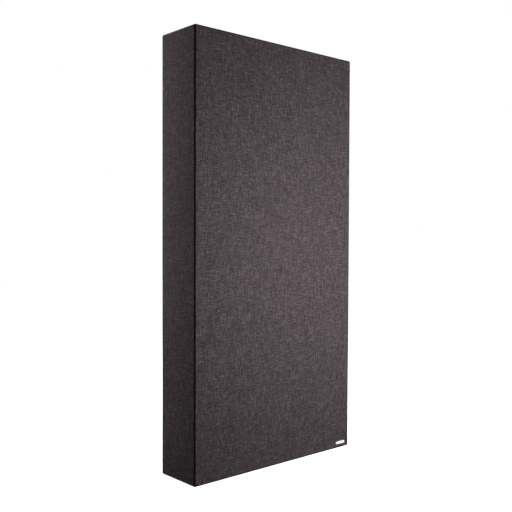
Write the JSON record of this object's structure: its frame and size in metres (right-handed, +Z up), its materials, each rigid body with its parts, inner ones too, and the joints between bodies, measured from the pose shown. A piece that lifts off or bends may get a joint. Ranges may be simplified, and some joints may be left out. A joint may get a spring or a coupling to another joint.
{
  "type": "bass trap",
  "caption": "Free-standing or wall-hung rectangular acoustic absorber: a cloth-covered timber frame with a mineral wool core, a piped front seam and swinging hanger rings on the back.",
  "frame": {"origin": "on the floor under the middle of the bounding box, with the trap standing on its lower side", "axes": "+Z up along the height, +X to the right seen from the front, +Y from the front to the back, where the wall is"},
  "size_m": [0.6, 0.1588, 1.2],
  "materials": {
    "cover_cloth": "matte",
    "piping_cloth": "matte",
    "black_fleece": "matte",
    "pine": "matte",
    "glass_fleece": "matte",
    "mineral_wool": "matte",
    "zinc_steel": "satin",
    "bumper_rubber": "matte",
    "badge_plastic": "satin"
  },
  "bodies": {
    "panel": {"front_cloth": "cover_cloth", "left_band": "cover_cloth", "right_band": "cover_cloth", "top_band": "cover_cloth", "bottom_band": "cover_cloth", "seam_piping": "piping_cloth", "dust_cover": "black_fleece", "left_board": "pine", "right_board": "pine", "top_board": "pine", "bottom_board": "pine", "upper_brace": "pine", "lower_brace": "pine", "fleece_layer": "glass_fleece", "front_slab": "mineral_wool", "rear_slab": "mineral_wool", "frame_screw_bottom_left_1": "zinc_steel", "frame_screw_bottom_left_2": "zinc_steel", "frame_screw_bottom_left_3": "zinc_steel", "frame_screw_bottom_right_1": "zinc_steel", "frame_screw_bottom_right_2": "zinc_steel", "frame_screw_bottom_right_3": "zinc_steel", "frame_screw_top_left_1": "zinc_steel", "frame_screw_top_left_2": "zinc_steel", "frame_screw_top_left_3": "zinc_steel", "frame_screw_top_right_1": "zinc_steel", "frame_screw_top_right_2": "zinc_steel", "frame_screw_top_right_3": "zinc_steel", "brace_screw_bottom_left": "zinc_steel", "brace_screw_bottom_right": "zinc_steel", "brace_screw_top_left": "zinc_steel", "brace_screw_top_right": "zinc_steel", "corner_bracket_bottom_left": "zinc_steel", "corner_bracket_bottom_right": "zinc_steel", "corner_bracket_top_left": "zinc_steel", "corner_bracket_top_right": "zinc_steel", "bracket_screw_bottom_left_upright": "zinc_steel", "bracket_screw_bottom_left_level": "zinc_steel", "bracket_screw_bottom_right_upright": "zinc_steel", "bracket_screw_bottom_right_level": "zinc_steel", "bracket_screw_top_left_upright": "zinc_steel", "bracket_screw_top_left_level": "zinc_steel", "bracket_screw_top_right_upright": "zinc_steel", "bracket_screw_top_right_level": "zinc_steel", "hanger_strap_left": "zinc_steel", "hanger_strap_right": "zinc_steel", "hanger_screw_left_1": "zinc_steel", "hanger_screw_left_2": "zinc_steel", "hanger_screw_right_1": "zinc_steel", "hanger_screw_right_2": "zinc_steel", "bumper_bottom_left": "bumper_rubber", "bumper_bottom_right": "bumper_rubber", "bumper_top_left": "bumper_rubber", "bumper_top_right": "bumper_rubber", "badge": "badge_plastic"},
    "left_ring": {"hanger_ring_left": "zinc_steel"},
    "right_ring": {"hanger_ring_right": "zinc_steel"}
  },
  "joints": [
    {"name": "left_ring_swing", "type": "hinge", "parent": "panel", "child": "left_ring", "pos_m": [-0.286, 0.0757, 1.02], "axis": [1, 0, 0], "range_deg": [0, 180]},
    {"name": "right_ring_swing", "type": "hinge", "parent": "panel", "child": "right_ring", "pos_m": [0.286, 0.0757, 1.02], "axis": [1, 0, 0], "range_deg": [0, 180]}
  ]
}
